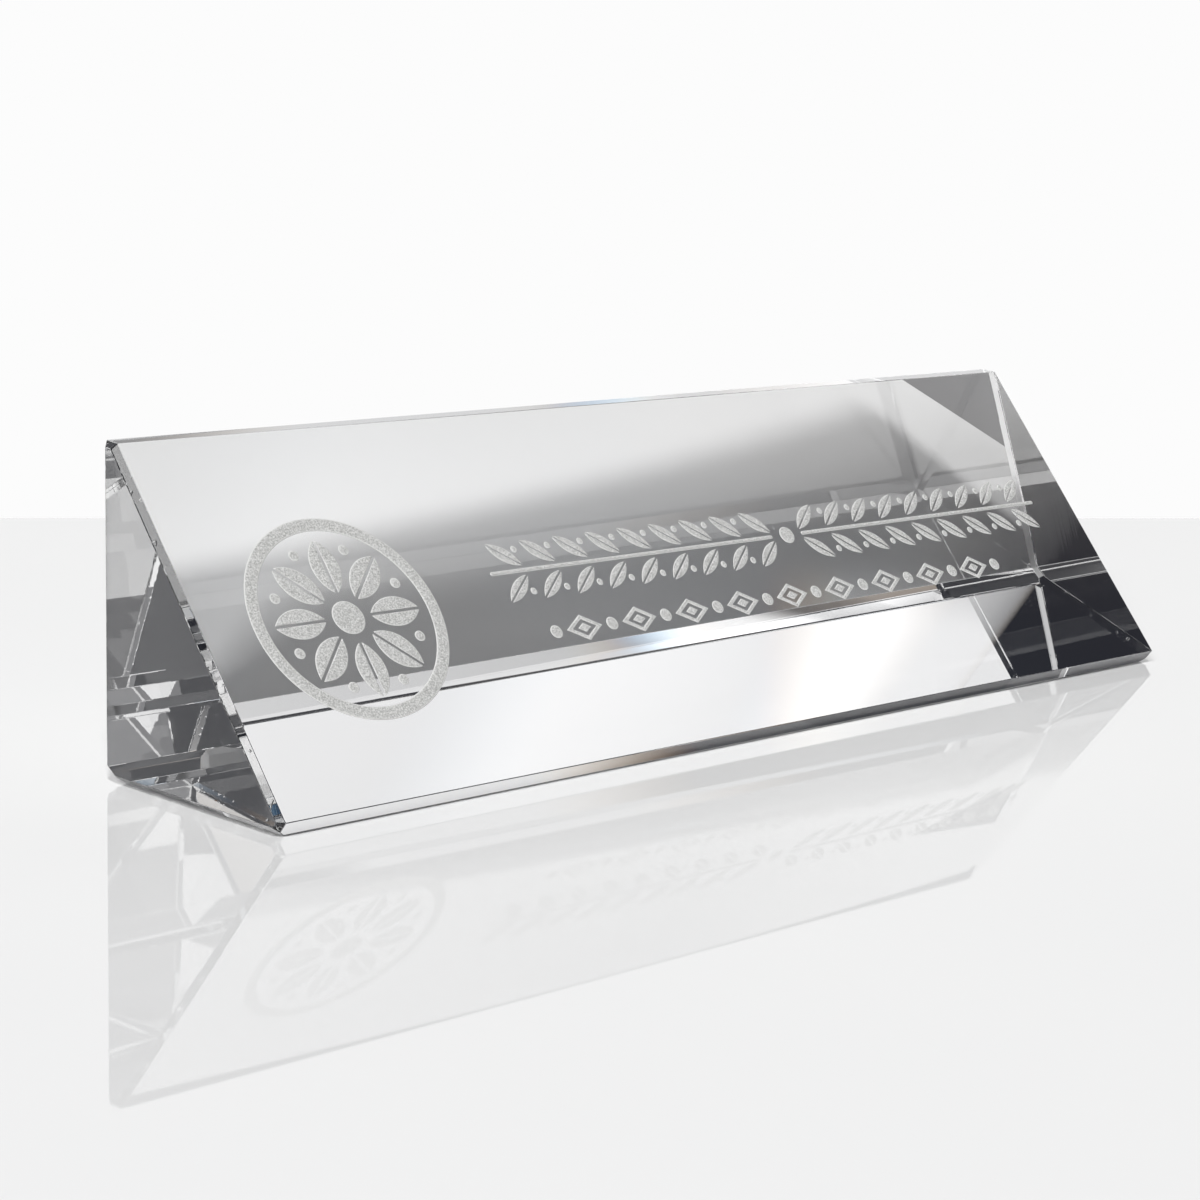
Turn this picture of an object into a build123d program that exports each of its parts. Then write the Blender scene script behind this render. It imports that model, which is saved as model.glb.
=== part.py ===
from build123d import *
from math import cos, floor, pi, radians, sin, tan
import os

# Desk name plate: a ground bar of clear crystal with frosted ornament sunk in its sloping front.
# Millimetres. X runs along the bar, the front looks towards -Y, Z is up.
# The origin lies on the desk, under the middle of the bar.

# Crystal block
length = 200.0
depth = 42.4
height = 50.0
ridge_width = 2.8
ridge_fall = 0.25            # the ridge flat is this much lower at its front edge
front_bevel_rise = 2.2
front_bevel_reach = 1.8
back_bevel_rise = 2.0
back_bevel_reach = 3.2
end_bevel = 0.9              # both legs, round the ends except at the base
foot_bevel_rise = 1.25
foot_bevel_reach = 1.75

# Engraving and its fill
fill_depth = 0.08
fill_sink = 0.04             # from the polished front down to the face of a fill
fill_clearance = 0.03        # between a fill and the walls of its pocket
cut_overrun = 1.0

# Medallion at the left of the front
medallion_margin = 9.5       # from the end of the bar to the medallion
medallion_radius = 17.0
medallion_drop_share = 0.024
ring_width = 2.2
petal_count = 8
petal_tip_gap = 1.6          # from the border to the tip of a petal
petal_stalk_gap = 1.4        # from the boss to the stalk of a petal
petal_width_share = 0.7      # of a petal's sector, half-way along the petal
petal_rib = 0.45
boss_radius = 2.8
pearl_radius = 0.9
pearl_gap = 1.9              # from the border to a pearl

# Garland, the long band
garland_gap = 9.5            # from the medallion to the first leaf
garland_margin = 8.0         # from the last leaf to the end of the bar
garland_rise_share = 0.039
knot_radius = 1.6
stem_width = 0.7
leaf_pitch = 7.0
leaf_length = 6.8
leaf_width = 2.5
leaf_rib = 0.3
leaf_angle = 38.0
leaf_stand = 0.95            # from the middle of the stem to the stalk of a leaf
berry_gap = 0.285            # from a berry to the leaves beside it
berry_along_share = 0.68

# Row of beads and lozenges, the lower band
row_drop = 11.2              # from the garland's stem to the middle of the row
row_indent_left = 9.0
row_indent_right = 21.0
bead_radius = 1.15
lozenge_length = 7.5
lozenge_height = 4.6
lozenge_stroke = 0.8
lozenge_core_share = 0.36
row_gap = 1.0


def section_corners():
    """Corners of the cross-section as (y, z), from the front of the base up and over to its back."""
    front, back = -depth / 2, depth / 2
    return [
        (front + front_bevel_reach, 0),
        (front, front_bevel_rise),
        (back - ridge_width, height - ridge_fall),
        (back, height),
        (back, back_bevel_rise),
        (back - back_bevel_reach, 0),
    ]


def ground_bar():
    """The cross-section carried along X, with a flat ground off every edge of both ends."""
    corners = section_corners()
    bar = extrude(Plane.YZ * Polygon(*corners, align=None), amount=length / 2, both=True)
    end_legs = [(end_bevel, end_bevel)] * (len(corners) - 1) + [(foot_bevel_reach, foot_bevel_rise)]
    for start, stop, (reach, rise) in zip(corners, corners[1:] + corners[:1], end_legs):
        side = Vector(0, stop[0] - start[0], stop[1] - start[1]).normalized()
        outward = Vector(0, -side.Z, side.Y)
        for end in (-1, 1):
            edge = Vector(end * (length / 2 - reach), *start)
            flat = Plane(origin=edge, z_dir=Vector(end * rise, 0, 0) + outward * reach)
            bar = split(bar, bisect_by=flat, keep=Keep.BOTTOM)
    return bar


def front_face():
    """Plane of the sloping front, with its origin in the middle and Y up the slope, and its height."""
    foot, brow = [Vector(0, *corner) for corner in section_corners()[1:3]]
    slope = brow - foot
    return Plane(origin=(foot + brow) / 2, x_dir=(1, 0, 0), z_dir=(0, -slope.Z, slope.Y)), slope.length


face, face_height = front_face()
engraving_depth = fill_depth + fill_sink
pocket_floor = face.offset(-engraving_depth)


def split_leaf(long, wide, rib):
    """Two halves of a leaf along X: each a chord beside the clear rib and an arc out to the edge."""
    halves = []
    for side in (-1, 1):
        stalk, belly, tip = (0, side * rib / 2), (long / 2, side * wide / 2), (long, side * rib / 2)
        halves.append(make_face(ThreePointArc(stalk, belly, tip) + Line(tip, stalk)))
    return halves


medallion_middle = medallion_margin + medallion_radius - length / 2


def medallion_marks():
    """Border, petals, boss and pearls about the middle of the medallion."""
    middle = Pos(medallion_middle, -medallion_drop_share * face_height)
    border_radius = medallion_radius - ring_width
    petal_start = boss_radius + petal_stalk_gap
    petal_length = border_radius - petal_tip_gap - petal_start
    petal_room = 2 * (petal_start + petal_length / 2) * tan(pi / petal_count)
    pearl_circle = border_radius - pearl_gap - pearl_radius
    step = 360 / petal_count
    petal = split_leaf(petal_length, petal_width_share * petal_room, petal_rib)
    petals = [
        middle * Rot(0, 0, step * turn) * Pos(petal_start, 0) * half
        for turn in range(petal_count)
        for half in petal
    ]
    pearls = [
        middle * Rot(0, 0, step * (turn + 1 / 2)) * Pos(pearl_circle, 0) * Circle(pearl_radius)
        for turn in range(petal_count)
    ]
    ring = Circle(medallion_radius) - Circle(border_radius)
    return {
        "medallion_ring": [middle * ring],
        "medallion_petals": petals,
        "medallion_boss": [middle * Circle(boss_radius)],
        "medallion_pearls": pearls,
    }


garland_start = medallion_middle + medallion_radius + garland_gap
garland_stop = length / 2 - garland_margin
garland_rise = garland_rise_share * face_height


def garland_marks():
    """Two branches that part at a round knot: slim stems, paired leaves that point outwards, berries."""
    lean = radians(leaf_angle)
    half_span = (garland_stop - garland_start) / 2
    middle = Pos((garland_start + garland_stop) / 2, garland_rise)
    pairs = floor((half_span - leaf_length * cos(lean)) / leaf_pitch)
    stem_length = pairs * leaf_pitch
    berry_out = berry_along_share * leaf_length * cos(lean) - leaf_pitch / 2
    berry_up = berry_along_share * leaf_length * sin(lean) + leaf_stand
    berry_radius = (leaf_pitch * sin(lean) - leaf_width) / 2 - berry_gap
    leaf = split_leaf(leaf_length, leaf_width, leaf_rib)
    stems, berries = [], []
    leaves = {1: [], -1: []}
    for branch in (0, 180):
        frame = middle * Rot(0, 0, branch)
        stem_middle = (leaf_pitch + stem_length) / 2
        stems.append(frame * Pos(stem_middle, 0) * SlotOverall(stem_length, stem_width))
        for pair in range(pairs):
            stalk = leaf_pitch / 2 + pair * leaf_pitch
            for side in (1, -1):
                upper = side if branch == 0 else -side
                place = frame * Pos(stalk, side * leaf_stand) * Rot(0, 0, side * leaf_angle)
                leaves[upper] += [place * half for half in leaf]
                if pair:
                    berry = Pos(stalk + berry_out, side * berry_up)
                    berries.append(frame * berry * Circle(berry_radius))
    return {
        "garland_knot": [middle * Circle(knot_radius)],
        "garland_stem": stems,
        "garland_upper_leaves": leaves[1],
        "garland_lower_leaves": leaves[-1],
        "garland_berries": berries,
    }


def lozenge(long, tall):
    """A lozenge about the origin, its long diagonal on X."""
    return Polygon((-long / 2, 0), (0, -tall / 2), (long / 2, 0), (0, tall / 2), align=None)


def row_marks():
    """Open lozenges with a solid core, and a bead before, between and after them."""
    start, stop = garland_start + row_indent_left, garland_stop - row_indent_right
    pitch = lozenge_length + 2 * (row_gap + bead_radius)
    count = floor((stop - start - 2 * bead_radius) / pitch)
    middle = Pos((start + stop) / 2, garland_rise - row_drop)
    inner_share = 1 - 2 * lozenge_stroke / lozenge_height
    frame = lozenge(lozenge_length, lozenge_height) - lozenge(
        lozenge_length * inner_share, lozenge_height * inner_share
    )
    core = lozenge(lozenge_length * lozenge_core_share, lozenge_height * lozenge_core_share)
    places = [(index - (count - 1) / 2) * pitch for index in range(count)]
    bead_places = [(index - count / 2) * pitch for index in range(count + 1)]
    return {
        "row_beads": [middle * Pos(place, 0) * Circle(bead_radius) for place in bead_places],
        "row_lozenges": [middle * Pos(place, 0) * shape for place in places for shape in (frame, core)],
    }


def fill_of(mark):
    """The thin solid that lies on the floor of a mark's pocket."""
    return extrude(pocket_floor * mark, amount=fill_depth, dir=face.z_dir)


def pocket_of(mark):
    """The cutter of a mark's pocket, wider than the fill by its clearance."""
    room = offset(mark, amount=fill_clearance, kind=Kind.INTERSECTION)
    return extrude(pocket_floor * room, amount=engraving_depth + cut_overrun, dir=face.z_dir)


marks = medallion_marks() | garland_marks() | row_marks()
cutters = [pocket_of(mark) for group in marks.values() for mark in group]
nodes = {"crystal_prism": ground_bar() - cutters}
for name, group in marks.items():
    nodes[name] = Compound([solid for mark in group for solid in fill_of(mark).solids()])

os.makedirs("parts", exist_ok=True)
for name, shape in nodes.items():
    export_step(shape, f"parts/{name}.step")
    print(name, len(shape.solids()), "solids", round(shape.volume, 1), "mm3")
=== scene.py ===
# %% [markdown]
# # A desk name plate of clear crystal
# The real object is one solid bar of optical crystal, ground flat on every side and polished. Its sloping
# front carries shallow frosted ornament, so the marks look white and grainy on the clear bar. This lesson
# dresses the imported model: it loads the frame first, because every later piece takes its place from it.

# %% Load the frame
import bmesh
import bpy
import numpy as np
from mathutils import Matrix, Vector


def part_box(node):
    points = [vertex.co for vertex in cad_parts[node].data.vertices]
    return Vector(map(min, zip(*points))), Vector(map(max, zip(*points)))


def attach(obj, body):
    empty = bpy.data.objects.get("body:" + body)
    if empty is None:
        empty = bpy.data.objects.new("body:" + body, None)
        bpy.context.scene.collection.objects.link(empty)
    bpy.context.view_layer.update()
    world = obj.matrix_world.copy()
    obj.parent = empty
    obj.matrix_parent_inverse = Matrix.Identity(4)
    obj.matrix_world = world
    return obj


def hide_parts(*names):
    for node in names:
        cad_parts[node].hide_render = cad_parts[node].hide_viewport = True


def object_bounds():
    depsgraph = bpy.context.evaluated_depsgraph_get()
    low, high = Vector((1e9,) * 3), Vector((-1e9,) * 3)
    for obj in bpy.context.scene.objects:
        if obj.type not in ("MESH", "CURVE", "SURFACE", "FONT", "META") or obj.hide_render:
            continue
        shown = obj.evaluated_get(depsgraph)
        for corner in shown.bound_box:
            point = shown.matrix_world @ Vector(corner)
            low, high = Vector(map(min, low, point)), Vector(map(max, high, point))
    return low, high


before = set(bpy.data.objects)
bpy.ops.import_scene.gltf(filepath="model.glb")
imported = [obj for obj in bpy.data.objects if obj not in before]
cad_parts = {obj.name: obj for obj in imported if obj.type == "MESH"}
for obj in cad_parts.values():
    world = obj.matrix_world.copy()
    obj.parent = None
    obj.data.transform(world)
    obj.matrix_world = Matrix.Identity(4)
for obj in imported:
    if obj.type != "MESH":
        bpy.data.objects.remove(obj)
cad_low, cad_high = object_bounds()
MM = 0.001
print("nodes:", len(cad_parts), "size in mm:", [round(x / MM, 2) for x in cad_high - cad_low])

# %% [markdown]
# ## The camera
# A product photographer stands to the left of such a bar, a little above it, with a long lens from half a
# metre away. The view is kept as what a person would measure: where the lens looks, from how far, and how
# the camera is turned. Its three axes come from those angles, because then a reader can change one angle
# at a time.

# %% Camera at the photograph's angle
CAMERA_AIM = (-21.71 * MM, -0.93 * MM, 21.64 * MM)
CAMERA_DISTANCE = 451.2 * MM
CAMERA_AZIMUTH, CAMERA_ELEVATION, CAMERA_ROLL = np.radians([-43.862, 10.338, 1.461])
CAMERA_LENS = 85.78


def camera_axes(azimuth, elevation, roll):
    """Right, up and back of a camera: azimuth 0 looks along +Y, then the camera rises, then it rolls."""
    flat = np.cos(elevation)
    back = Vector((np.sin(azimuth) * flat, -np.cos(azimuth) * flat, np.sin(elevation)))
    level = Vector((0, 0, 1)).cross(back).normalized()
    upright = back.cross(level)
    right = np.cos(roll) * level + np.sin(roll) * upright
    return right, back.cross(right), back


right, up, back = camera_axes(CAMERA_AZIMUTH, CAMERA_ELEVATION, CAMERA_ROLL)
camera = bpy.data.objects.new("photo_camera", bpy.data.cameras.new("photo_camera"))
camera.data.lens = CAMERA_LENS
camera.matrix_world = Matrix((right, up, back)).transposed().to_4x4()
camera.location = Vector(CAMERA_AIM) + CAMERA_DISTANCE * back
bpy.context.scene.collection.objects.link(camera)
bpy.context.scene.camera = camera
print("camera at", [round(x / MM, 1) for x in camera.location], "mm")

# %% [markdown]
# ## Helpers for colours and nodes
# Colours are easiest to read as sRGB hex values, the way a colour picker shows them, but shaders work on
# linear light. One function turns the first into the second. Another adds a shader node, with its
# settings, and fills or links its inputs, so that each material below reads like a recipe. Two more make
# the flat sheets of the stage and hide things from chosen kinds of rays.

# %% Colour, node and stage helpers


def linear(hex_colour):
    """An sRGB hex colour as linear red, green and blue, with an alpha of one."""
    srgb = np.array([int(hex_colour[i:i + 2], 16) for i in (1, 3, 5)]) / 255
    return (*np.where(srgb <= 0.04045, srgb / 12.92, ((srgb + 0.055) / 1.055) ** 2.4), 1.0)


def add_node(tree, kind, inputs=None, **settings):
    """Add a node of that kind with its settings; an input takes a value or a link from another node."""
    node = tree.nodes.new(kind)
    for name, value in settings.items():
        setattr(node, name, value)
    for name, value in (inputs or {}).items():
        if isinstance(value, bpy.types.NodeSocket):
            tree.links.new(value, node.inputs[name])
        else:
            node.inputs[name].default_value = value
    return node


def empty_material(name):
    """A node material with nothing in it yet, and its tree."""
    material = bpy.data.materials.new(name)
    material.use_nodes = True
    material.node_tree.nodes.clear()
    return material, material.node_tree


def hide_from(thing, *kinds):
    """Hide an object from the named kinds of rays."""
    for kind in kinds:
        setattr(thing, "visible_" + kind, False)


def flat_sheet(name, corners, material):
    """One flat face through the corners, as an object in the scene."""
    mesh = bpy.data.meshes.new(name)
    mesh.from_pydata([tuple(corner) for corner in corners], [], [range(len(corners))])
    mesh.materials.append(material)
    sheet = bpy.data.objects.new(name, mesh)
    bpy.context.scene.collection.objects.link(sheet)
    return sheet


print("middle grey is", [round(float(x), 3) for x in linear("#808080")], "in linear light")

# %% [markdown]
# ## The studio
# Clear crystal has no colour of its own: it shows the room, bent and folded. Photographers build that
# room on purpose, with white screens where a facet should be bright and darkness where it should be
# black. Real screens could be modelled as planes, but the world shader can draw them by direction alone,
# with no edges to light. Azimuth runs from +Y towards +X, and elevation is measured above the table.

# %% Direction of a ray as azimuth and elevation
world = bpy.data.worlds.new("studio")
bpy.context.scene.world = world
world.use_nodes = True
tree = world.node_tree
tree.nodes.clear()
direction = add_node(tree, "ShaderNodeTexCoord").outputs["Generated"]
axes = add_node(tree, "ShaderNodeSeparateXYZ", {"Vector": direction})
turn = add_node(tree, "ShaderNodeMath", {0: axes.outputs["X"], 1: axes.outputs["Y"]}, operation="ARCTAN2")
ray_azimuth = add_node(tree, "ShaderNodeMath", {0: turn.outputs[0]}, operation="DEGREES").outputs[0]
lift = add_node(tree, "ShaderNodeMath", {0: axes.outputs["Z"]}, operation="ARCSINE")
ray_elevation = add_node(tree, "ShaderNodeMath", {0: lift.outputs[0]}, operation="DEGREES").outputs[0]
print("direction nodes:", len(tree.nodes))

# %% [markdown]
# The screen behind the bar fills the lower part of the front with white, and a low one at the side carries
# that white on towards the right end. Two more low screens give the bevels and the ridge something pale to
# mirror, two dim ones stand at the right, and a strip of grey near the floor on the photographer's side
# lifts the right end out of the black.

# %% Screens of the room
BACK_RISE, SOFT_EDGE = (31, 43), 3.0
PANELS = {
    "back screen, far left": {"light": 0.60, "sides": (-60, 34), "rise": BACK_RISE},
    "back screen, left": {"light": 0.90, "sides": (45, 56), "rise": BACK_RISE},
    "back screen, middle": {"light": 1.10, "sides": (56, 70), "rise": BACK_RISE},
    "back screen, right": {"light": 1.35, "sides": (70, 75), "rise": BACK_RISE},
    "back screen, far right": {"light": 0.95, "sides": (75, 88), "rise": BACK_RISE},
    "low screen": {"light": 0.75, "sides": (4, 45), "rise": (-9, 20), "softness": 2.0},
    "low screen, right": {"light": 1.60, "sides": (45, 55), "rise": (11, 14.5), "softness": 1.0},
    "low side screen": {"light": 0.90, "sides": (124, 132), "rise": (10, 16), "softness": 0.8},
    "side screen": {"light": 0.60, "sides": (94, 107), "rise": (33, 50)},
    "side screen, near": {"light": 0.60, "sides": (113, 126), "rise": (34, 50)},
    "front skirting": {"light": 0.40, "sides": (-75, -45), "rise": (-9, 9.5), "softness": 0.8},
}


def panel(bearing, light, sides, rise, softness=SOFT_EDGE):
    """Light of a panel: its strength times four soft edges, two in azimuth and two in elevation."""
    glow = light
    for angle, (start, stop) in ((bearing, sides), (ray_elevation, rise)):
        for edge, soft in ((start, softness), (stop, -softness)):
            step = add_node(
                tree, "ShaderNodeMapRange",
                {"Value": angle, "From Min": edge - soft, "From Max": edge + soft},
                interpolation_type="SMOOTHSTEP",
            )
            dimmed = add_node(tree, "ShaderNodeMath", {0: glow, 1: step.outputs[0]}, operation="MULTIPLY")
            glow = dimmed.outputs[0]
    return glow


print("panels:", ", ".join(PANELS))

# %% [markdown]
# Crystal bends blue a little more than red, so an edge seen through it carries a thin fringe of colour.
# The shader could bend three colours apart, at the price of more noise. It is simpler to draw the room
# once per colour with a small turn between the three. The unlit room is faintly blue, as dark glass looks.

# %% The room in red, green and blue
FRINGE = 0.2
DARK_ROOM = {"Red": 0.023, "Green": 0.024, "Blue": 0.030}

room = {}
for (channel, dark), shift in zip(DARK_ROOM.items(), (-FRINGE, 0.0, FRINGE)):
    turned = add_node(tree, "ShaderNodeMath", {0: ray_azimuth, 1: shift}, operation="ADD").outputs[0]
    room[channel] = dark
    for each in PANELS.values():
        added = add_node(
            tree, "ShaderNodeMath", {0: room[channel], 1: panel(turned, **each)}, operation="ADD",
        )
        room[channel] = added.outputs[0]
room_colour = add_node(tree, "ShaderNodeCombineColor", room)
print("world nodes:", len(tree.nodes))

# %% [markdown]
# The camera itself looks past all this at a plain pale wall, and so does the mirror image in the polished
# table. The Light Path node knows those rays: they come straight from the camera, or from a gloss that is
# not perfectly sharp, as the crystal's is. The wall is a low one. Above it the table mirrors the dark
# room, which keeps the shadow behind the bar deep.

# %% Pale wall for the camera
PALE_WALL = "#FCFCFC"
WALL_TOP, WALL_SOFTNESS = 25.0, 2.0

studio_light = add_node(tree, "ShaderNodeBackground", {"Color": room_colour.outputs[0]})
pale_wall = add_node(tree, "ShaderNodeBackground", {"Color": linear(PALE_WALL)})
path = add_node(tree, "ShaderNodeLightPath").outputs
from_table = add_node(
    tree, "ShaderNodeMath", {0: path["Is Glossy Ray"], 1: path["Is Singular Ray"]}, operation="SUBTRACT",
)
looking = add_node(
    tree, "ShaderNodeMath", {0: path["Is Camera Ray"], 1: from_table.outputs[0]}, operation="MAXIMUM",
)
below_top = add_node(
    tree, "ShaderNodeMapRange",
    {"Value": ray_elevation, "From Min": WALL_TOP + WALL_SOFTNESS, "From Max": WALL_TOP - WALL_SOFTNESS},
)
plain = add_node(
    tree, "ShaderNodeMath", {0: looking.outputs[0], 1: below_top.outputs[0]}, operation="MULTIPLY",
)
seen = add_node(
    tree, "ShaderNodeMixShader",
    {0: plain.outputs[0], 1: studio_light.outputs[0], 2: pale_wall.outputs[0]},
)
add_node(tree, "ShaderNodeOutputWorld", {"Surface": seen.outputs[0]})
print("wall is", PALE_WALL, "up to", WALL_TOP, "degrees")

# %% [markdown]
# ## Lamps
# One softbox hangs high behind the camera and a tall one stands to its left. They light the table and the
# frost, and throw the shadow behind the bar that shows through the front as its dark band. Their own bright
# images inside the crystal would be distracting white patches, so they are hidden from reflected and
# refracted rays.

# %% Two softboxes
SOFTBOX_DISTANCE = 9000 * MM
SOFTBOXES = {
    "key_softbox": {"source": (-142, 56), "wide": 900 * MM, "tall": 900 * MM, "power": 462.0},
    "left_softbox": {"source": (-110, 42), "wide": 1200 * MM, "tall": 4000 * MM, "power": 430.0},
}


def towards(azimuth, elevation):
    """Unit vector at an azimuth from +Y towards +X and at an elevation, both in degrees."""
    az, el = np.radians([azimuth, elevation])
    return Vector((np.sin(az) * np.cos(el), np.cos(az) * np.cos(el), np.sin(el)))


def softbox(name, source, wide, tall, power):
    """A rectangular lamp far off at two source angles: it faces the origin and lights matt surfaces."""
    outwards = towards(*source)
    light = bpy.data.objects.new(name, bpy.data.lights.new(name, "AREA"))
    light.data.shape = "RECTANGLE"
    light.data.size = wide
    light.data.size_y = tall
    light.data.energy = power
    light.location = SOFTBOX_DISTANCE * outwards
    light.rotation_mode = "QUATERNION"
    light.rotation_quaternion = outwards.to_track_quat("Z", "Y")
    hide_from(light, "camera", "glossy", "transmission")
    bpy.context.scene.collection.objects.link(light)
    print(name, "at", [round(x / MM) for x in light.location], "mm,", power, "W")


for name, each in SOFTBOXES.items():
    softbox(name, **each)

# %% [markdown]
# ## The table
# The bar stands on a sheet of white acrylic, polished enough to show a faint mirror image. A rough white
# diffuse shader gives its body, and a thin share of glossy shader the polish. The sheet lies a hair below
# the bar, because crystal that touches white all over would lose the mirror that its base is. Its far
# edge stands where the photograph turns from table to wall, turned a little so that it looks level from
# the rolled camera.

# %% White acrylic sheet
TABLE_SPAN, TABLE_FAR_EDGE, TABLE_GAP = 2400 * MM, 671 * MM, 0.05 * MM
TABLE_TURN = np.radians(9.5)
ACRYLIC_IOR, ACRYLIC_ROUGHNESS = 1.49, 0.02
ACRYLIC_WHITES, CLOUD_SIZE = ("#F1F1F1", "#F6F6F5"), 120 * MM

# Cast acrylic, polished: bright, neutral, with clouds so faint that they only keep it from looking drawn.
acrylic, tree = empty_material("acrylic_sheet_cast_and_polished")
place = add_node(tree, "ShaderNodeTexCoord").outputs["Object"]
clouds = add_node(tree, "ShaderNodeTexNoise", {"Vector": place, "Scale": 1 / CLOUD_SIZE, "Detail": 2.0})
darker, paler = (linear(white) for white in ACRYLIC_WHITES)
white = add_node(tree, "ShaderNodeMix", {0: clouds.outputs["Fac"], 6: darker, 7: paler}, data_type="RGBA")
body = add_node(tree, "ShaderNodeBsdfDiffuse", {"Color": white.outputs[2]})
polish = add_node(
    tree, "ShaderNodeBsdfGlossy", {"Color": linear("#FFFFFF"), "Roughness": ACRYLIC_ROUGHNESS},
)
mirror = add_node(tree, "ShaderNodeFresnel", {"IOR": ACRYLIC_IOR})
sheet = add_node(
    tree, "ShaderNodeMixShader", {0: mirror.outputs[0], 1: body.outputs[0], 2: polish.outputs[0]},
)
add_node(tree, "ShaderNodeOutputMaterial", {"Surface": sheet.outputs[0]})

ahead = Vector((-back.x, -back.y, 0)).normalized()
aside = Vector((ahead.y, -ahead.x, 0)) + ahead * np.tan(TABLE_TURN)
far_middle = Vector((camera.location.x, camera.location.y, -TABLE_GAP)) + TABLE_FAR_EDGE * ahead
steps = ((-0.5, 0), (-0.5, 1), (0.5, 1), (0.5, 0))
table_corners = [far_middle + TABLE_SPAN * (across * aside - near * ahead) for across, near in steps]
table = flat_sheet("studio_floor", table_corners, acrylic)
print("table corners in mm:", [[round(x / MM) for x in corner] for corner in table_corners])

# %% [markdown]
# ## The light under the bar
# Real crystal bends the light of the softboxes down onto the table below it, so the table under the bar
# is nearly as bright as around it. A path tracer seldom finds those paths. A glowing sheet in the hair of
# air under the base stands for that light: only the table's own matt surface looks up at it, and no other
# ray meets it.

# %% Glowing sheet under the base
UNDER_LIGHT, UNDER_LEVEL = 0.65, -0.02 * MM
UNDER_MARGIN, UNDER_MARGIN_BACK = 2.5 * MM, 3.75 * MM

glow, tree = empty_material("light_passed_by_crystal")
sheen = add_node(tree, "ShaderNodeEmission", {"Strength": UNDER_LIGHT})
add_node(tree, "ShaderNodeOutputMaterial", {"Surface": sheen.outputs[0]})
glow.cycles.emission_sampling = "NONE"
left, near = cad_low[0] + UNDER_MARGIN, cad_low[1] + UNDER_MARGIN
right_end, far = cad_high[0] - UNDER_MARGIN, cad_high[1] - UNDER_MARGIN_BACK
under_outline = ((left, near), (right_end, near), (right_end, far), (left, far))
under = flat_sheet("under_light", [(x, y, UNDER_LEVEL) for x, y in under_outline], glow)
hide_from(under, "camera", "glossy", "transmission", "shadow")
print("glowing sheet:", [round(x / MM, 1) for x in (right_end - left, far - near)], "mm")

# %% [markdown]
# ## The grey card of painted shade
# Through the left end the eye looks along the whole bar and out at the table beyond it. A grey card
# lying there paints shade into the end, so that the end reads as a dark field between bright edges.
# This card is a virtual one: only rays that come out of the crystal see it, so it can lie close to the
# bar. Its far arm also paints the darker facet above the right end.

# %% Grey card of painted shade beyond the right end
CARD_GAP, CARD_LENGTH, CARD_LIFT = 3 * MM, 160 * MM, 0.1 * MM
CARD_NEAR, CARD_STEP, CARD_FAR = -100 * MM, 8 * MM, 75 * MM
STEP_GAP = 40 * MM
CARD_PAINTED_SHADE_GREY = "#78787A"

# Grey card, matt: painted shade, an even dark field without a mirror, seen only through the crystal.
shade_card_material, tree = empty_material("card_painted_shade_matt")
matt = add_node(tree, "ShaderNodeBsdfDiffuse", {"Color": linear(CARD_PAINTED_SHADE_GREY)})
add_node(tree, "ShaderNodeOutputMaterial", {"Surface": matt.outputs[0]})
card_start = cad_high[0] + CARD_GAP
card_stop = card_start + CARD_LENGTH
card_notch = cad_high[0] + STEP_GAP
card_outline = [
    (card_start, CARD_NEAR), (card_stop, CARD_NEAR), (card_stop, CARD_FAR),
    (card_notch, CARD_FAR), (card_notch, CARD_STEP), (card_start, CARD_STEP),
]
card = flat_sheet("painted_shade_card", [(x, y, CARD_LIFT) for x, y in card_outline], shade_card_material)
hide_from(card, "camera", "glossy", "diffuse", "shadow")
print("grey card from", round(card_start / MM), "to", round(card_stop / MM), "mm")

# %% [markdown]
# ## Light paths
# A ray can bounce a dozen times inside the bar before it finds a way out. Cycles gives up after a few
# bounces by default, which leaves black holes in glass, so the limits are raised. The plain view
# transform keeps white surfaces white, as in a product picture.

# %% Longer light paths and a plain view transform
LONGEST_PATH = 32

cycles = bpy.context.scene.cycles
cycles.max_bounces = LONGEST_PATH
cycles.transmission_bounces = LONGEST_PATH
cycles.glossy_bounces = LONGEST_PATH
bpy.context.scene.view_settings.view_transform = "Standard"
print("bounces:", cycles.max_bounces)

# %% [markdown]
# ## The crystal
# Optical crystal is a clear, colourless glass with an index of about 1.52. The wide faces are polished
# until nothing scatters. The two ends and the narrow bevels are finished by hand: on the ends the
# polishing wheel leaves fine upright lines, and along the bevels the grinder leaves a few tiny chips.
# Both are far too small to model, so they are bumps, kept to those faces by the direction that the faces
# look in.

# %% Crystal material
CRYSTAL_IOR, CRYSTAL_TINT = 1.517, "#FDFDFD"
LINE_SPACING, LINE_LENGTH, LINE_DEPTH = 0.8 * MM, 60 * MM, 0.0012 * MM
CHIP_SIZE, CHIP_DEPTH, CHIP_NOISE = 1.6 * MM, 0.03 * MM, (0.66, 0.72)
# How far a face looks along the bar, from 0 to 1: nearly 1 on the ends, in between on their bevels.
END_LOOK, BEVEL_LOOK, BEVEL_SPREAD = (0.9, 0.95), 0.7, 0.25

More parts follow.
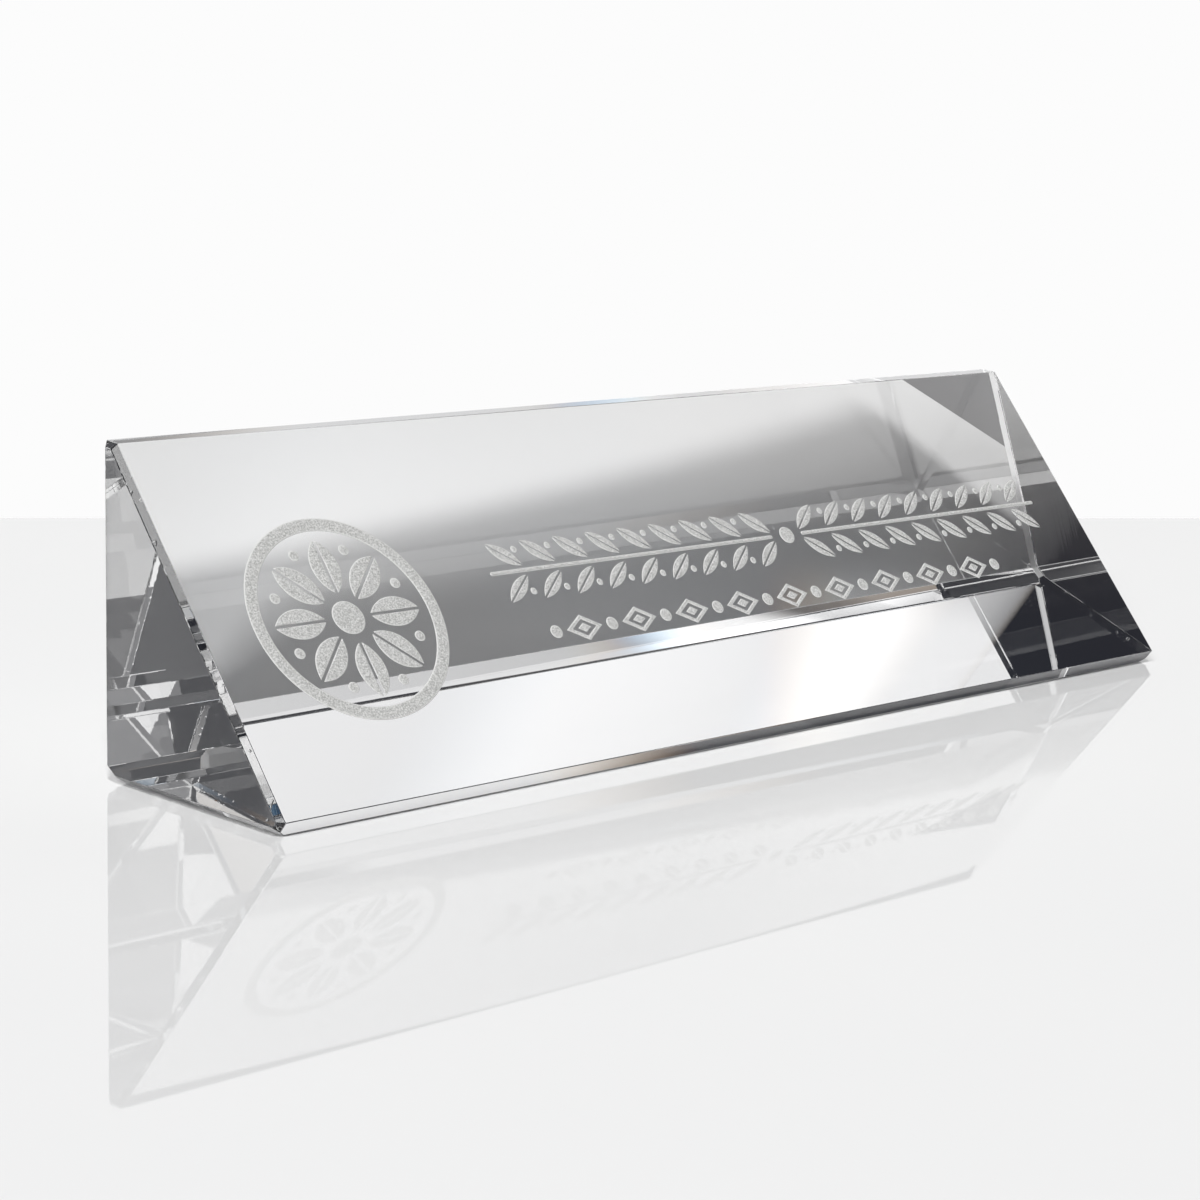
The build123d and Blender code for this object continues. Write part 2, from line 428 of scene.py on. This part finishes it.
# Lead-free optical crystal, ground and polished: water clear, with a mirror on every face seen at a slant.
crystal, tree = empty_material("optical_crystal_ground_and_polished")
place = add_node(tree, "ShaderNodeTexCoord").outputs["Object"]
facing = add_node(tree, "ShaderNodeNewGeometry").outputs["True Normal"]
sideways = add_node(tree, "ShaderNodeSeparateXYZ", {"Vector": facing}).outputs["X"]
endwise = add_node(tree, "ShaderNodeMath", {0: sideways}, operation="ABSOLUTE").outputs[0]
end_face = add_node(
    tree, "ShaderNodeMapRange", {"Value": endwise, "From Min": END_LOOK[0], "From Max": END_LOOK[1]},
)
stretched = add_node(
    tree, "ShaderNodeMapping",
    {"Vector": place, "Scale": (1 / LINE_LENGTH, 1 / LINE_SPACING, 1 / LINE_LENGTH)},
)
lines = add_node(tree, "ShaderNodeTexNoise", {"Vector": stretched.outputs[0], "Scale": 1.0, "Detail": 3.0})
wheel_marks = add_node(
    tree, "ShaderNodeBump",
    {"Height": lines.outputs["Fac"], "Strength": end_face.outputs[0], "Distance": LINE_DEPTH},
)
bevel_side = add_node(
    tree, "ShaderNodeMath", {0: endwise, 1: BEVEL_LOOK, 2: BEVEL_SPREAD}, operation="COMPARE",
).outputs[0]
specks = add_node(tree, "ShaderNodeTexNoise", {"Vector": place, "Scale": 1 / CHIP_SIZE, "Detail": 1.0})
chip = add_node(tree, "ShaderNodeMapRange", {
    "Value": specks.outputs["Fac"],
    "From Min": CHIP_NOISE[0],
    "From Max": CHIP_NOISE[1],
    "To Min": 1.0,
    "To Max": 0.0,
}).outputs[0]
nicks = add_node(
    tree, "ShaderNodeBump",
    {"Height": chip, "Strength": bevel_side, "Distance": CHIP_DEPTH, "Normal": wheel_marks.outputs[0]},
)
shader = add_node(tree, "ShaderNodeBsdfPrincipled", {
    "Base Color": linear(CRYSTAL_TINT),
    "Roughness": 0.0,
    "IOR": CRYSTAL_IOR,
    "Transmission Weight": 1.0,
    "Normal": nicks.outputs[0],
})
add_node(tree, "ShaderNodeOutputMaterial", {"Surface": shader.outputs[0]})
print(crystal.name, "nodes:", len(tree.nodes))

# %% [markdown]
# ## The frost
# Blasted crystal is a crust of tiny white splinters. From the front it is an even, grainy grey white,
# like ground glass. Round each mark a paler line is painted as a highlight, where the wall of the cut
# would catch light. Underneath, against the block, shade is painted: the colour is much darker there,
# because little light gets there. One noise gives the grain of colour and bump, and two mesh attributes
# that each fill carries tell the shader which points lie underneath, for the painted shade, and which on
# the rim, for the painted highlight.

# %% Frost material
# Real splinters are a few hundredths of a millimetre; they are drawn coarser so that they show from here.
GRAIN_SIZE, GRAIN_DEPTH, GRAIN_STRENGTH = 0.26 * MM, 0.05 * MM, 0.6
GRAIN_NOISE, GRAIN_GREYS = (0.3, 0.7), ("#A6A6A4", "#E0E0DE")
# The rim colour is a painted highlight round each mark; the underside colour is painted shade.
RIM_PAINTED_HIGHLIGHT, UNDERSIDE_PAINTED_SHADE = "#E6E6E4", "#4A4A4A"
FROST_ROUGHNESS = 0.75

# Sandblasted crystal: a rough white crust that scatters all light and keeps no mirror.
frost, tree = empty_material("crystal_frost_sandblasted")
place = add_node(tree, "ShaderNodeTexCoord").outputs["Object"]
splinters = add_node(
    tree, "ShaderNodeTexNoise", {"Vector": place, "Scale": 1 / GRAIN_SIZE, "Detail": 1.0},
).outputs["Fac"]
spread = add_node(
    tree, "ShaderNodeMapRange",
    {"Value": splinters, "From Min": GRAIN_NOISE[0], "From Max": GRAIN_NOISE[1]},
).outputs[0]
rim = add_node(tree, "ShaderNodeAttribute", attribute_name="rim").outputs["Fac"]
underside = add_node(tree, "ShaderNodeAttribute", attribute_name="underside").outputs["Fac"]
# The grain mixes its two greys at random; the rim mix then paints a highlight and the underside mix paints
# shade.
colour = linear(GRAIN_GREYS[0])
for share, other in ((spread, GRAIN_GREYS[1]), (rim, RIM_PAINTED_HIGHLIGHT), (underside, UNDERSIDE_PAINTED_SHADE)):
    mixed = add_node(tree, "ShaderNodeMix", {0: share, 6: colour, 7: linear(other)}, data_type="RGBA")
    colour = mixed.outputs[2]
crumbs = add_node(
    tree, "ShaderNodeBump", {"Height": splinters, "Strength": GRAIN_STRENGTH, "Distance": GRAIN_DEPTH},
)
shader = add_node(tree, "ShaderNodeBsdfPrincipled", {
    "Base Color": colour,
    "Roughness": FROST_ROUGHNESS,
    "IOR": CRYSTAL_IOR,
    "Normal": crumbs.outputs[0],
})
add_node(tree, "ShaderNodeOutputMaterial", {"Surface": shader.outputs[0]})
print(frost.name, "nodes:", len(tree.nodes))

# %% [markdown]
# ## The block
# The bar is convex, so its outer skin is the hull of its corners: a simple way to get one clean mesh from
# the loose triangles of the CAD node. The hull also closes the pockets, a tenth of a millimetre deep,
# that the frost fills anyway; light that runs along inside the bar then meets flat faces only, as it does
# on the real one.

# %% Hull of the CAD block
CORNER_DECIMALS = 8
FLAT_WITHIN = np.radians(0.2)

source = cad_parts["crystal_prism"].data
points = np.empty(3 * len(source.vertices))
source.vertices.foreach_get("co", points)
corners = np.unique(points.reshape(-1, 3).round(CORNER_DECIMALS), axis=0)
block_mesh = bpy.data.meshes.new("crystal_block")
block_mesh.from_pydata(corners.tolist(), [], [])
skin = bmesh.new()
skin.from_mesh(block_mesh)
found = bmesh.ops.convex_hull(skin, input=skin.verts)
bmesh.ops.delete(skin, geom=list(set(found["geom_interior"] + found["geom_unused"])), context="VERTS")
bmesh.ops.dissolve_limit(skin, angle_limit=FLAT_WITHIN, verts=skin.verts, edges=skin.edges)
bmesh.ops.recalc_face_normals(skin, faces=skin.faces)
print("corners:", len(skin.verts), "edges:", len(skin.edges), "faces:", len(skin.faces))

# %% [markdown]
# The largest face is the sloping front. Its normal and middle give a flat coordinate system, along the
# bar and up the slope, in which all ornament is drawn later.

# %% Axes of the front face
front = max(skin.faces, key=lambda face: face.calc_area())
along = np.array([1.0, 0.0, 0.0])
outward = np.array(front.normal)
upslope = np.cross(outward, along)
face_middle = np.array(front.calc_center_median())
print("front looks towards", outward.round(4), "from", (face_middle / MM).round(3), "mm")

# %% [markdown]
# A grinder never leaves a perfect edge: the last polish takes a hair off it, and that hair is what
# catches a thin line of light. A Bevel modifier turns each edge into two narrow strips.

# %% Polished edges
EDGE_POLISH = 0.10 * MM
POLISH_STRIPS = 2

skin.to_mesh(block_mesh)
skin.free()
block_mesh.shade_flat()
block_mesh.materials.append(crystal)
block = bpy.data.objects.new("crystal_block", block_mesh)
bpy.context.scene.collection.objects.link(block)
polished = block.modifiers.new("edge_polish", "BEVEL")
polished.width = EDGE_POLISH
polished.segments = POLISH_STRIPS
polished.use_clamp_overlap = False
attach(block, "root")
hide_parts("crystal_prism")
print("block faces before the bevel:", len(block_mesh.polygons))

# %% [markdown]
# ## The frosted fills
# A fill is a thin cake of frost with a soft shoulder. Modelling each mark by hand would take days, so
# they all come from one idea: a profile, carried round the outline of the mark. A row of the profile says
# how far it stands in from the outline, how far it then goes towards the middle, and how high it lies on
# the face.

# %% Profiles
SHOULDER = 0.28 * MM
FILL_FOOT, FILL_TOP = 0.005 * MM, 0.085 * MM
SHOULDER_SHARES = np.array([0.0, 0.35, 0.7, 1.0])
SHOULDER_RISES = np.array([0.25, 0.62, 0.9, 1.0])


def profile(closed):
    """Rows of a profile as (inset, share of the rest, height, underside, rim).

    The rows run along the underside to the outline, up over the shoulder and across the top. An open
    profile ends in the middle of the mark. A closed one comes down again at the inner outline."""
    under, top = ([0.0], [0.5]) if closed else ([1.0, 0.5, 0.0], [0.5, 1.0])
    inset = np.concatenate([np.zeros(len(under)), SHOULDER_SHARES, np.ones(len(top))])
    rest = np.concatenate([under, np.zeros(len(SHOULDER_SHARES)), top])
    rise = np.concatenate([np.zeros(len(under)), SHOULDER_RISES, np.ones(len(top))])
    below = np.concatenate([np.ones(len(under)), np.zeros(len(SHOULDER_SHARES) + len(top))])
    if closed:
        inset = np.concatenate([inset, SHOULDER_SHARES[::-1], [0.0, 0.0]])
        rest = np.concatenate([rest, np.ones(len(SHOULDER_SHARES) + 1), [0.5]])
        rise = np.concatenate([rise, SHOULDER_RISES[::-1], [0.0, 0.0]])
        below = np.concatenate([below, np.zeros(len(SHOULDER_SHARES)), [1.0, 1.0]])
    # The rim share marks the top of the shoulder, where a highlight is painted; below marks the underside,
    # where shade is painted.
    rim = (1 - below) * (1 - np.clip(inset, 0, 1))
    return SHOULDER * inset, rest, FILL_FOOT + rise * (FILL_TOP - FILL_FOOT), below, rim


print("rows of an open and a closed profile:", len(profile(False)[0]), len(profile(True)[0]))

# %% [markdown]
# Carrying the profile is plain arithmetic on whole arrays: every mark of a group, every row and every
# outline point at once. Insets are lengths, so a shoulder is as wide on a small bead as on the broad
# border. Only on slim marks, such as the stems, is it held to a share of the way to the middle.

# %% Carry a profile round outlines
WIDEST_SHOULDER_SHARE = 0.42
LEAST_DISTANCE = 1e-6 * MM


def carry(outer, inner, closed):
    """Points, quads, underside and rim of the surfaces got by carrying a profile round a group of marks.

    outer and inner hold one outline per mark, (marks, points, 2). With d the distance between them, a row
    lies at inset / d of the way from outer to inner, plus its share of the rest of that way. A closed
    profile keeps the same inset from the inner outline. Heights are laid off along the face's normal."""
    inset, rest, height, below, rim = (row[None, :, None] for row in profile(closed))
    apart = np.maximum(np.linalg.norm(inner - outer, axis=-1)[:, None], LEAST_DISTANCE)
    edge = np.minimum(inset / apart, WIDEST_SHOULDER_SHARE)
    share = edge + rest * (1 - (2 if closed else 1) * edge)
    flat = outer[:, None] + share[..., None] * (inner - outer)[:, None]
    points = face_middle + flat[..., :1] * along + flat[..., 1:] * upslope + height[..., None] * outward
    marks, rows, columns = points.shape[:3]
    index = np.arange(marks * rows * columns).reshape(marks, rows, columns)
    lower = index if closed else index[:, :-1]
    upper = np.roll(index, -1, axis=1) if closed else index[:, 1:]
    quads = np.stack([lower, np.roll(lower, -1, axis=2), np.roll(upper, -1, axis=2), upper], axis=-1)
    spread = [np.broadcast_to(row, index.shape).ravel() for row in (below, rim)]
    return points.reshape(-1, 3), quads.reshape(-1, 4), *spread


print("a shoulder takes at most", WIDEST_SHOULDER_SHARE, "of the way to the middle")

# %% [markdown]
# ## Outlines
# The ornament needs four shapes only: a circle, half a leaf, a lozenge and a slot. Each is an array of
# points in the plane of the front, and `placed` lays turned copies of it wherever the pattern wants them.

# %% Outlines in the plane
SIDE_POINTS = 24


def circle(radius, points=2 * SIDE_POINTS):
    """A circle about the origin: radius times cosine and sine of an even angle."""
    angle = np.linspace(0, 2 * np.pi, points, endpoint=False)
    return radius * np.stack([np.cos(angle), np.sin(angle)], axis=-1)


def half_leaf(long, wide, rib, side):
    """Half a leaf along +X: a chord beside the clear rib, and an arc over the belly back to the stalk."""
    rise = (wide - rib) / 2
    radius = (long ** 2 / 4 + rise ** 2) / (2 * rise)
    half_angle = np.arcsin(long / 2 / radius)
    chord = np.stack([np.linspace(0, long, SIDE_POINTS, endpoint=False), np.zeros(SIDE_POINTS)], axis=-1)
    angle = np.linspace(half_angle, -half_angle, SIDE_POINTS, endpoint=False)
    arc = np.stack([long / 2 + radius * np.sin(angle), rise - radius + radius * np.cos(angle)], axis=-1)
    outline = np.concatenate([chord, arc]) + np.array([0, rib / 2])
    return outline * np.array([1, side])


def lozenge(long, tall):
    """A lozenge about the origin, each side divided evenly."""
    corners = np.array([(long / 2, 0), (0, tall / 2), (-long / 2, 0), (0, -tall / 2)])
    step = np.linspace(0, 1, SIDE_POINTS // 2, endpoint=False)[None, :, None]
    return (corners[:, None] + step * (np.roll(corners, -1, axis=0) - corners)[:, None]).reshape(-1, 2)


def slot(long, wide):
    """A slot about the origin and its middle line, as outer and inner outlines with matching points."""
    run = np.array([long / 2 - wide / 2, 0])
    angle = np.linspace(-np.pi / 2, np.pi / 2, SIDE_POINTS)
    cap = wide / 2 * np.stack([np.cos(angle), np.sin(angle)], axis=-1)
    spine = np.repeat([run, -run], SIDE_POINTS, axis=0)
    return np.concatenate([cap + run, -cap - run]), spine


def placed(outline, x, y, turn=0.0):
    """Copies of an outline, each turned about the origin (degrees) and then moved."""
    x, y, turn = np.broadcast_arrays(np.asarray(x, float), y, np.radians(turn))
    c, s = np.cos(turn)[..., None], np.sin(turn)[..., None]
    u, v = outline[..., 0], outline[..., 1]
    return np.stack([x[..., None] + c * u - s * v, y[..., None] + s * u + c * v], axis=-1)


print("points of each outline:", [len(each) for each in (circle(1), half_leaf(2, 1, 0, 1), lozenge(2, 1))])

# %% [markdown]
# ## Laying the fills
# One function makes the piece that stands for a CAD node. It joins the surfaces of the node's marks,
# merges the points that meet at poles, turns all faces outwards, hands the frost its two attributes and
# says how far the piece's box is from the node's, so that a slip shows at once. Rays that come out of the
# crystal do not see the fills: thrown about inside the bar, they would draw ghosts of the marks on its
# clear facets, and the photograph has none. The price is that the marks do not show through the bar from
# behind, as they would on a real one.

# %% Lay one node's fills
MERGE_WITHIN = 0.0005 * MM


def lay_fill(node, *groups):
    """Make the frosted piece of one node from groups of (outer outlines, inner outlines, closed)."""
    parts = [carry(np.asarray(outer), np.asarray(inner), closed) for outer, inner, closed in groups]
    starts = np.cumsum([0] + [len(part[0]) for part in parts])
    points = np.concatenate([part[0] for part in parts])
    quads = np.concatenate([part[1] + start for part, start in zip(parts, starts)])
    mesh = bpy.data.meshes.new(node + "_frost")
    mesh.from_pydata(points.tolist(), [], quads.tolist())
    # The underside attribute carries the painted shade and the rim attribute the painted highlight.
    for place, name in ((2, "underside"), (3, "rim")):
        values = np.concatenate([part[place] for part in parts])
        mesh.attributes.new(name, "FLOAT", "POINT").data.foreach_set("value", values.astype(np.float32))
    grid = bmesh.new()
    grid.from_mesh(mesh)
    bmesh.ops.remove_doubles(grid, verts=grid.verts, dist=MERGE_WITHIN)
    bmesh.ops.dissolve_degenerate(grid, edges=grid.edges, dist=MERGE_WITHIN)
    bmesh.ops.recalc_face_normals(grid, faces=grid.faces)
    open_edges = sum(not edge.is_manifold for edge in grid.edges)
    grid.to_mesh(mesh)
    grid.free()
    mesh.shade_smooth()
    mesh.materials.append(frost)
    piece = bpy.data.objects.new(mesh.name, mesh)
    hide_from(piece, "transmission")
    bpy.context.scene.collection.objects.link(piece)
    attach(piece, "root")
    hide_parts(node)
    low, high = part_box(node)
    gap = max(np.abs(points.min(0) - np.array(low)).max(), np.abs(points.max(0) - np.array(high)).max())
    print(f"{piece.name}: {len(mesh.polygons)} faces, {open_edges} open edges, off by {gap / MM:.3f} mm")


def solid(outlines):
    """Marks that are filled to their middle: the inner outline shrinks to the mean point."""
    outlines = np.asarray(outlines)
    return outlines, np.broadcast_to(outlines.mean(axis=1, keepdims=True), outlines.shape), False


def on_face(node):
    """Middle of a node's box in the plane of the front, and the box's length along the bar."""
    low, high = (np.array(corner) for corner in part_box(node))
    middle = (low + high) / 2 - face_middle
    return np.array([middle @ along, middle @ upslope]), high[0] - low[0]


print("medallion, knot and row stand at", [(on_face(n)[0] / MM).round(2).tolist() for n in (
    "medallion_ring", "garland_knot", "row_beads")])

# %% [markdown]
# ## The medallion
# A border, eight split petals round a boss, and a pearl between each two petals: a plain rosette. Its
# middle, its outer radius and the boss come from the frame, and the petals take their width from the room
# that eight of them have.

# %% Medallion
RING_WIDTH, RING_POINTS = 2.2 * MM, 8 * SIDE_POINTS
PETALS, PETAL_RIB, PETAL_WIDTH_SHARE = 8, 0.45 * MM, 0.7
PETAL_STALK_GAP, PETAL_TIP_GAP = 1.4 * MM, 1.6 * MM
PEARL_RADIUS, PEARL_GAP = 0.9 * MM, 1.9 * MM

middle, across = on_face("medallion_ring")
border = across / 2 - RING_WIDTH
rings = [[middle + circle(radius, RING_POINTS)] for radius in (across / 2, border)]
lay_fill("medallion_ring", (*rings, True))
boss_radius = on_face("medallion_boss")[1] / 2
lay_fill("medallion_boss", solid([middle + circle(boss_radius)]))
petal_start = boss_radius + PETAL_STALK_GAP
petal_length = border - PETAL_TIP_GAP - petal_start
petal_room = 2 * (petal_start + petal_length / 2) * np.tan(np.pi / PETALS)
turns = np.arange(PETALS) * 360 / PETALS
halves = [half_leaf(petal_length, PETAL_WIDTH_SHARE * petal_room, PETAL_RIB, side) for side in (-1, 1)]
petals = [placed(half + np.array([petal_start, 0]), *middle, turns) for half in halves]
lay_fill("medallion_petals", solid(np.concatenate(petals)))
pearl = circle(PEARL_RADIUS) + np.array([border - PEARL_GAP - PEARL_RADIUS, 0])
lay_fill("medallion_pearls", solid(placed(pearl, *middle, turns + 180 / PETALS)))

# %% [markdown]
# ## The garland
# Two branches part at a round knot. Each is a slim stem with paired leaves that point outwards and a
# berry in each fork. The right branch is worked out and the left one is its mirror image.

# %% Garland
PAIRS, LEAF_PITCH, STEM_WIDTH = 9, 7.0 * MM, 0.7 * MM
LEAF_LENGTH, LEAF_WIDTH, LEAF_RIB = 6.8 * MM, 2.5 * MM, 0.3 * MM
LEAF_ANGLE, LEAF_STAND = 38.0, 0.95 * MM
BERRY_ALONG_SHARE, BERRY_GAP = 0.68, 0.285 * MM

middle, across = on_face("garland_knot")
lay_fill("garland_knot", solid([middle + circle(across / 2)]))
stem_length = PAIRS * LEAF_PITCH
stem_x = middle[0] + np.array([1, -1]) * (LEAF_PITCH + stem_length) / 2
stems, spines = [placed(outline, stem_x, middle[1]) for outline in slot(stem_length, STEM_WIDTH)]
lay_fill("garland_stem", (stems, spines, False))
stalks = LEAF_PITCH * (0.5 + np.arange(PAIRS))
stalk_x = middle[0] + np.concatenate([stalks, -stalks])
lean = np.repeat([LEAF_ANGLE, 180 - LEAF_ANGLE], PAIRS)
halves = [half_leaf(LEAF_LENGTH, LEAF_WIDTH, LEAF_RIB, belly) for belly in (-1, 1)]
for name, side in (("garland_upper_leaves", 1), ("garland_lower_leaves", -1)):
    leaves = [placed(half, stalk_x, middle[1] + side * LEAF_STAND, side * lean) for half in halves]
    lay_fill(name, solid(np.concatenate(leaves)))
along_leaf = BERRY_ALONG_SHARE * LEAF_LENGTH * np.exp(1j * np.radians(LEAF_ANGLE))
berry_radius = (LEAF_PITCH * np.sin(np.radians(LEAF_ANGLE)) - LEAF_WIDTH) / 2 - BERRY_GAP
berry_x = stalks[1:] + along_leaf.real - LEAF_PITCH / 2
berry_y = along_leaf.imag + LEAF_STAND
berry_x, berry_y = np.meshgrid(np.concatenate([berry_x, -berry_x]), [berry_y, -berry_y])
berries = placed(circle(berry_radius), middle[0] + berry_x.ravel(), middle[1] + berry_y.ravel())
lay_fill("garland_berries", solid(berries))

# %% [markdown]
# ## The row
# Below the garland runs a row of open lozenges with a solid core, and a bead before, between and after
# them. The row's middle and its length come from the beads of the frame.

# %% Row of beads and lozenges
LOZENGES, BEAD_RADIUS = 9, 1.15 * MM
LOZENGE_LENGTH, LOZENGE_HEIGHT, LOZENGE_STROKE = 7.5 * MM, 4.6 * MM, 0.8 * MM
LOZENGE_CORE_SHARE = 0.36

middle, across = on_face("row_beads")
pitch = (across - 2 * BEAD_RADIUS) / LOZENGES
bead_x = middle[0] + (np.arange(LOZENGES + 1) - LOZENGES / 2) * pitch
lay_fill("row_beads", solid(placed(circle(BEAD_RADIUS), bead_x, middle[1])))
lozenge_x = bead_x[:-1] + pitch / 2
hole_share = 1 - 2 * LOZENGE_STROKE / LOZENGE_HEIGHT
rims, holes, cores = [
    placed(lozenge(LOZENGE_LENGTH * share, LOZENGE_HEIGHT * share), lozenge_x, middle[1])
    for share in (1, hole_share, LOZENGE_CORE_SHARE)
]
lay_fill("row_lozenges", (rims, holes, True), solid(cores))
